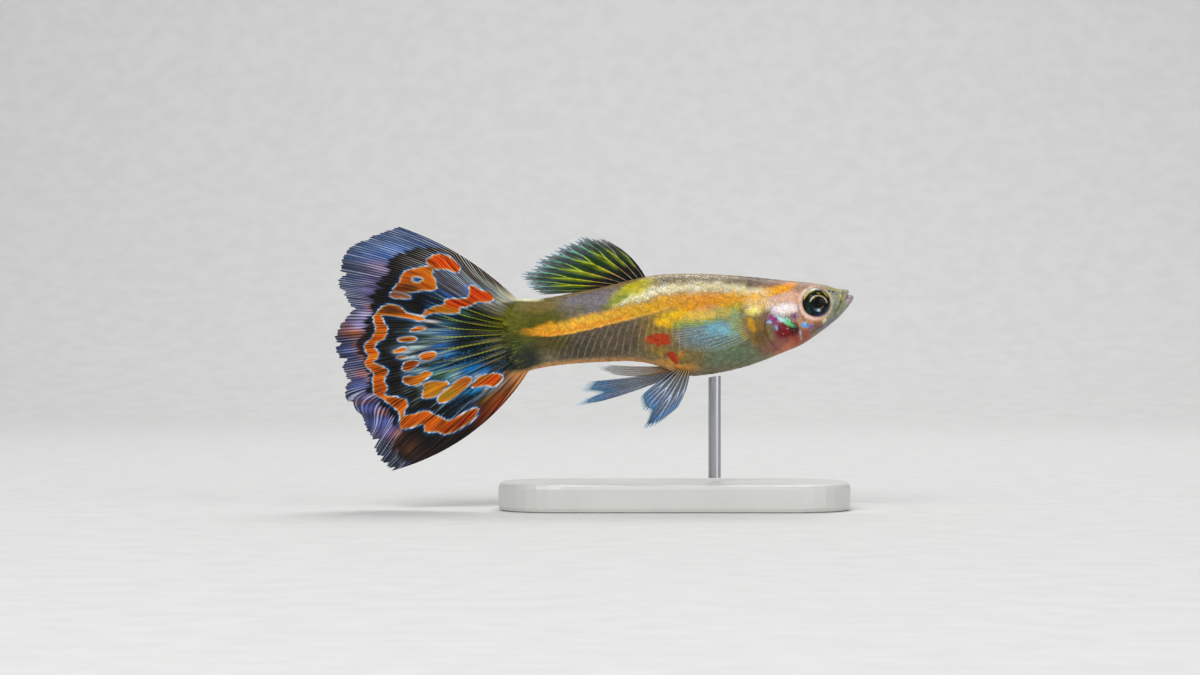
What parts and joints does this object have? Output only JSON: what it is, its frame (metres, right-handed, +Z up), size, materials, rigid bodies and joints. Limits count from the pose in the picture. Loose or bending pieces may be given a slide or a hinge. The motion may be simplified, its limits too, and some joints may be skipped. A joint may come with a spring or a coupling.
{
  "type": "fancy guppy",
  "caption": "Male fancy guppy swimming nose up with its wide fan tail spread, a still life-size model on a plain flat display stand with one short rod.",
  "frame": {"origin": "bottom centre of the bounding box, on the surface that the stand rests on", "axes": "+X towards the snout, +Y towards the fish's left side, +Z up"},
  "size_m": [0.0416, 0.013, 0.0225],
  "materials": {
    "flank_skin": "wet, scaled, golden olive with iridescent patches",
    "head_skin": "wet, silvery pink with iridescent patches",
    "eye": "wet, black pupil in a dark iris with a gold rim",
    "tail_web": "wet membrane, violet blue with orange-red and black marks",
    "green_web": "wet membrane, dark green with pale tips",
    "blue_web": "wet membrane, blue with bright rays",
    "clear_web": "wet membrane, almost clear",
    "stand_lacquer": "satin",
    "stand_steel": "satin"
  },
  "bodies": {
    "root": {"head": "head_skin", "lower_jaw": "head_skin", "gill_cover_right": "head_skin", "gill_cover_left": "head_skin", "eye_right": "eye", "eye_left": "eye", "trunk": "flank_skin", "tail_stem": "flank_skin", "dorsal_fin": "green_web", "tail_fin": "tail_web", "anal_fin": "clear_web", "pelvic_fin_right": "blue_web", "pelvic_fin_left": "blue_web", "pectoral_fin_right": "clear_web", "pectoral_fin_left": "clear_web", "stand_base": "stand_lacquer", "stand_rod": "stand_steel"}
  },
  "joints": []
}
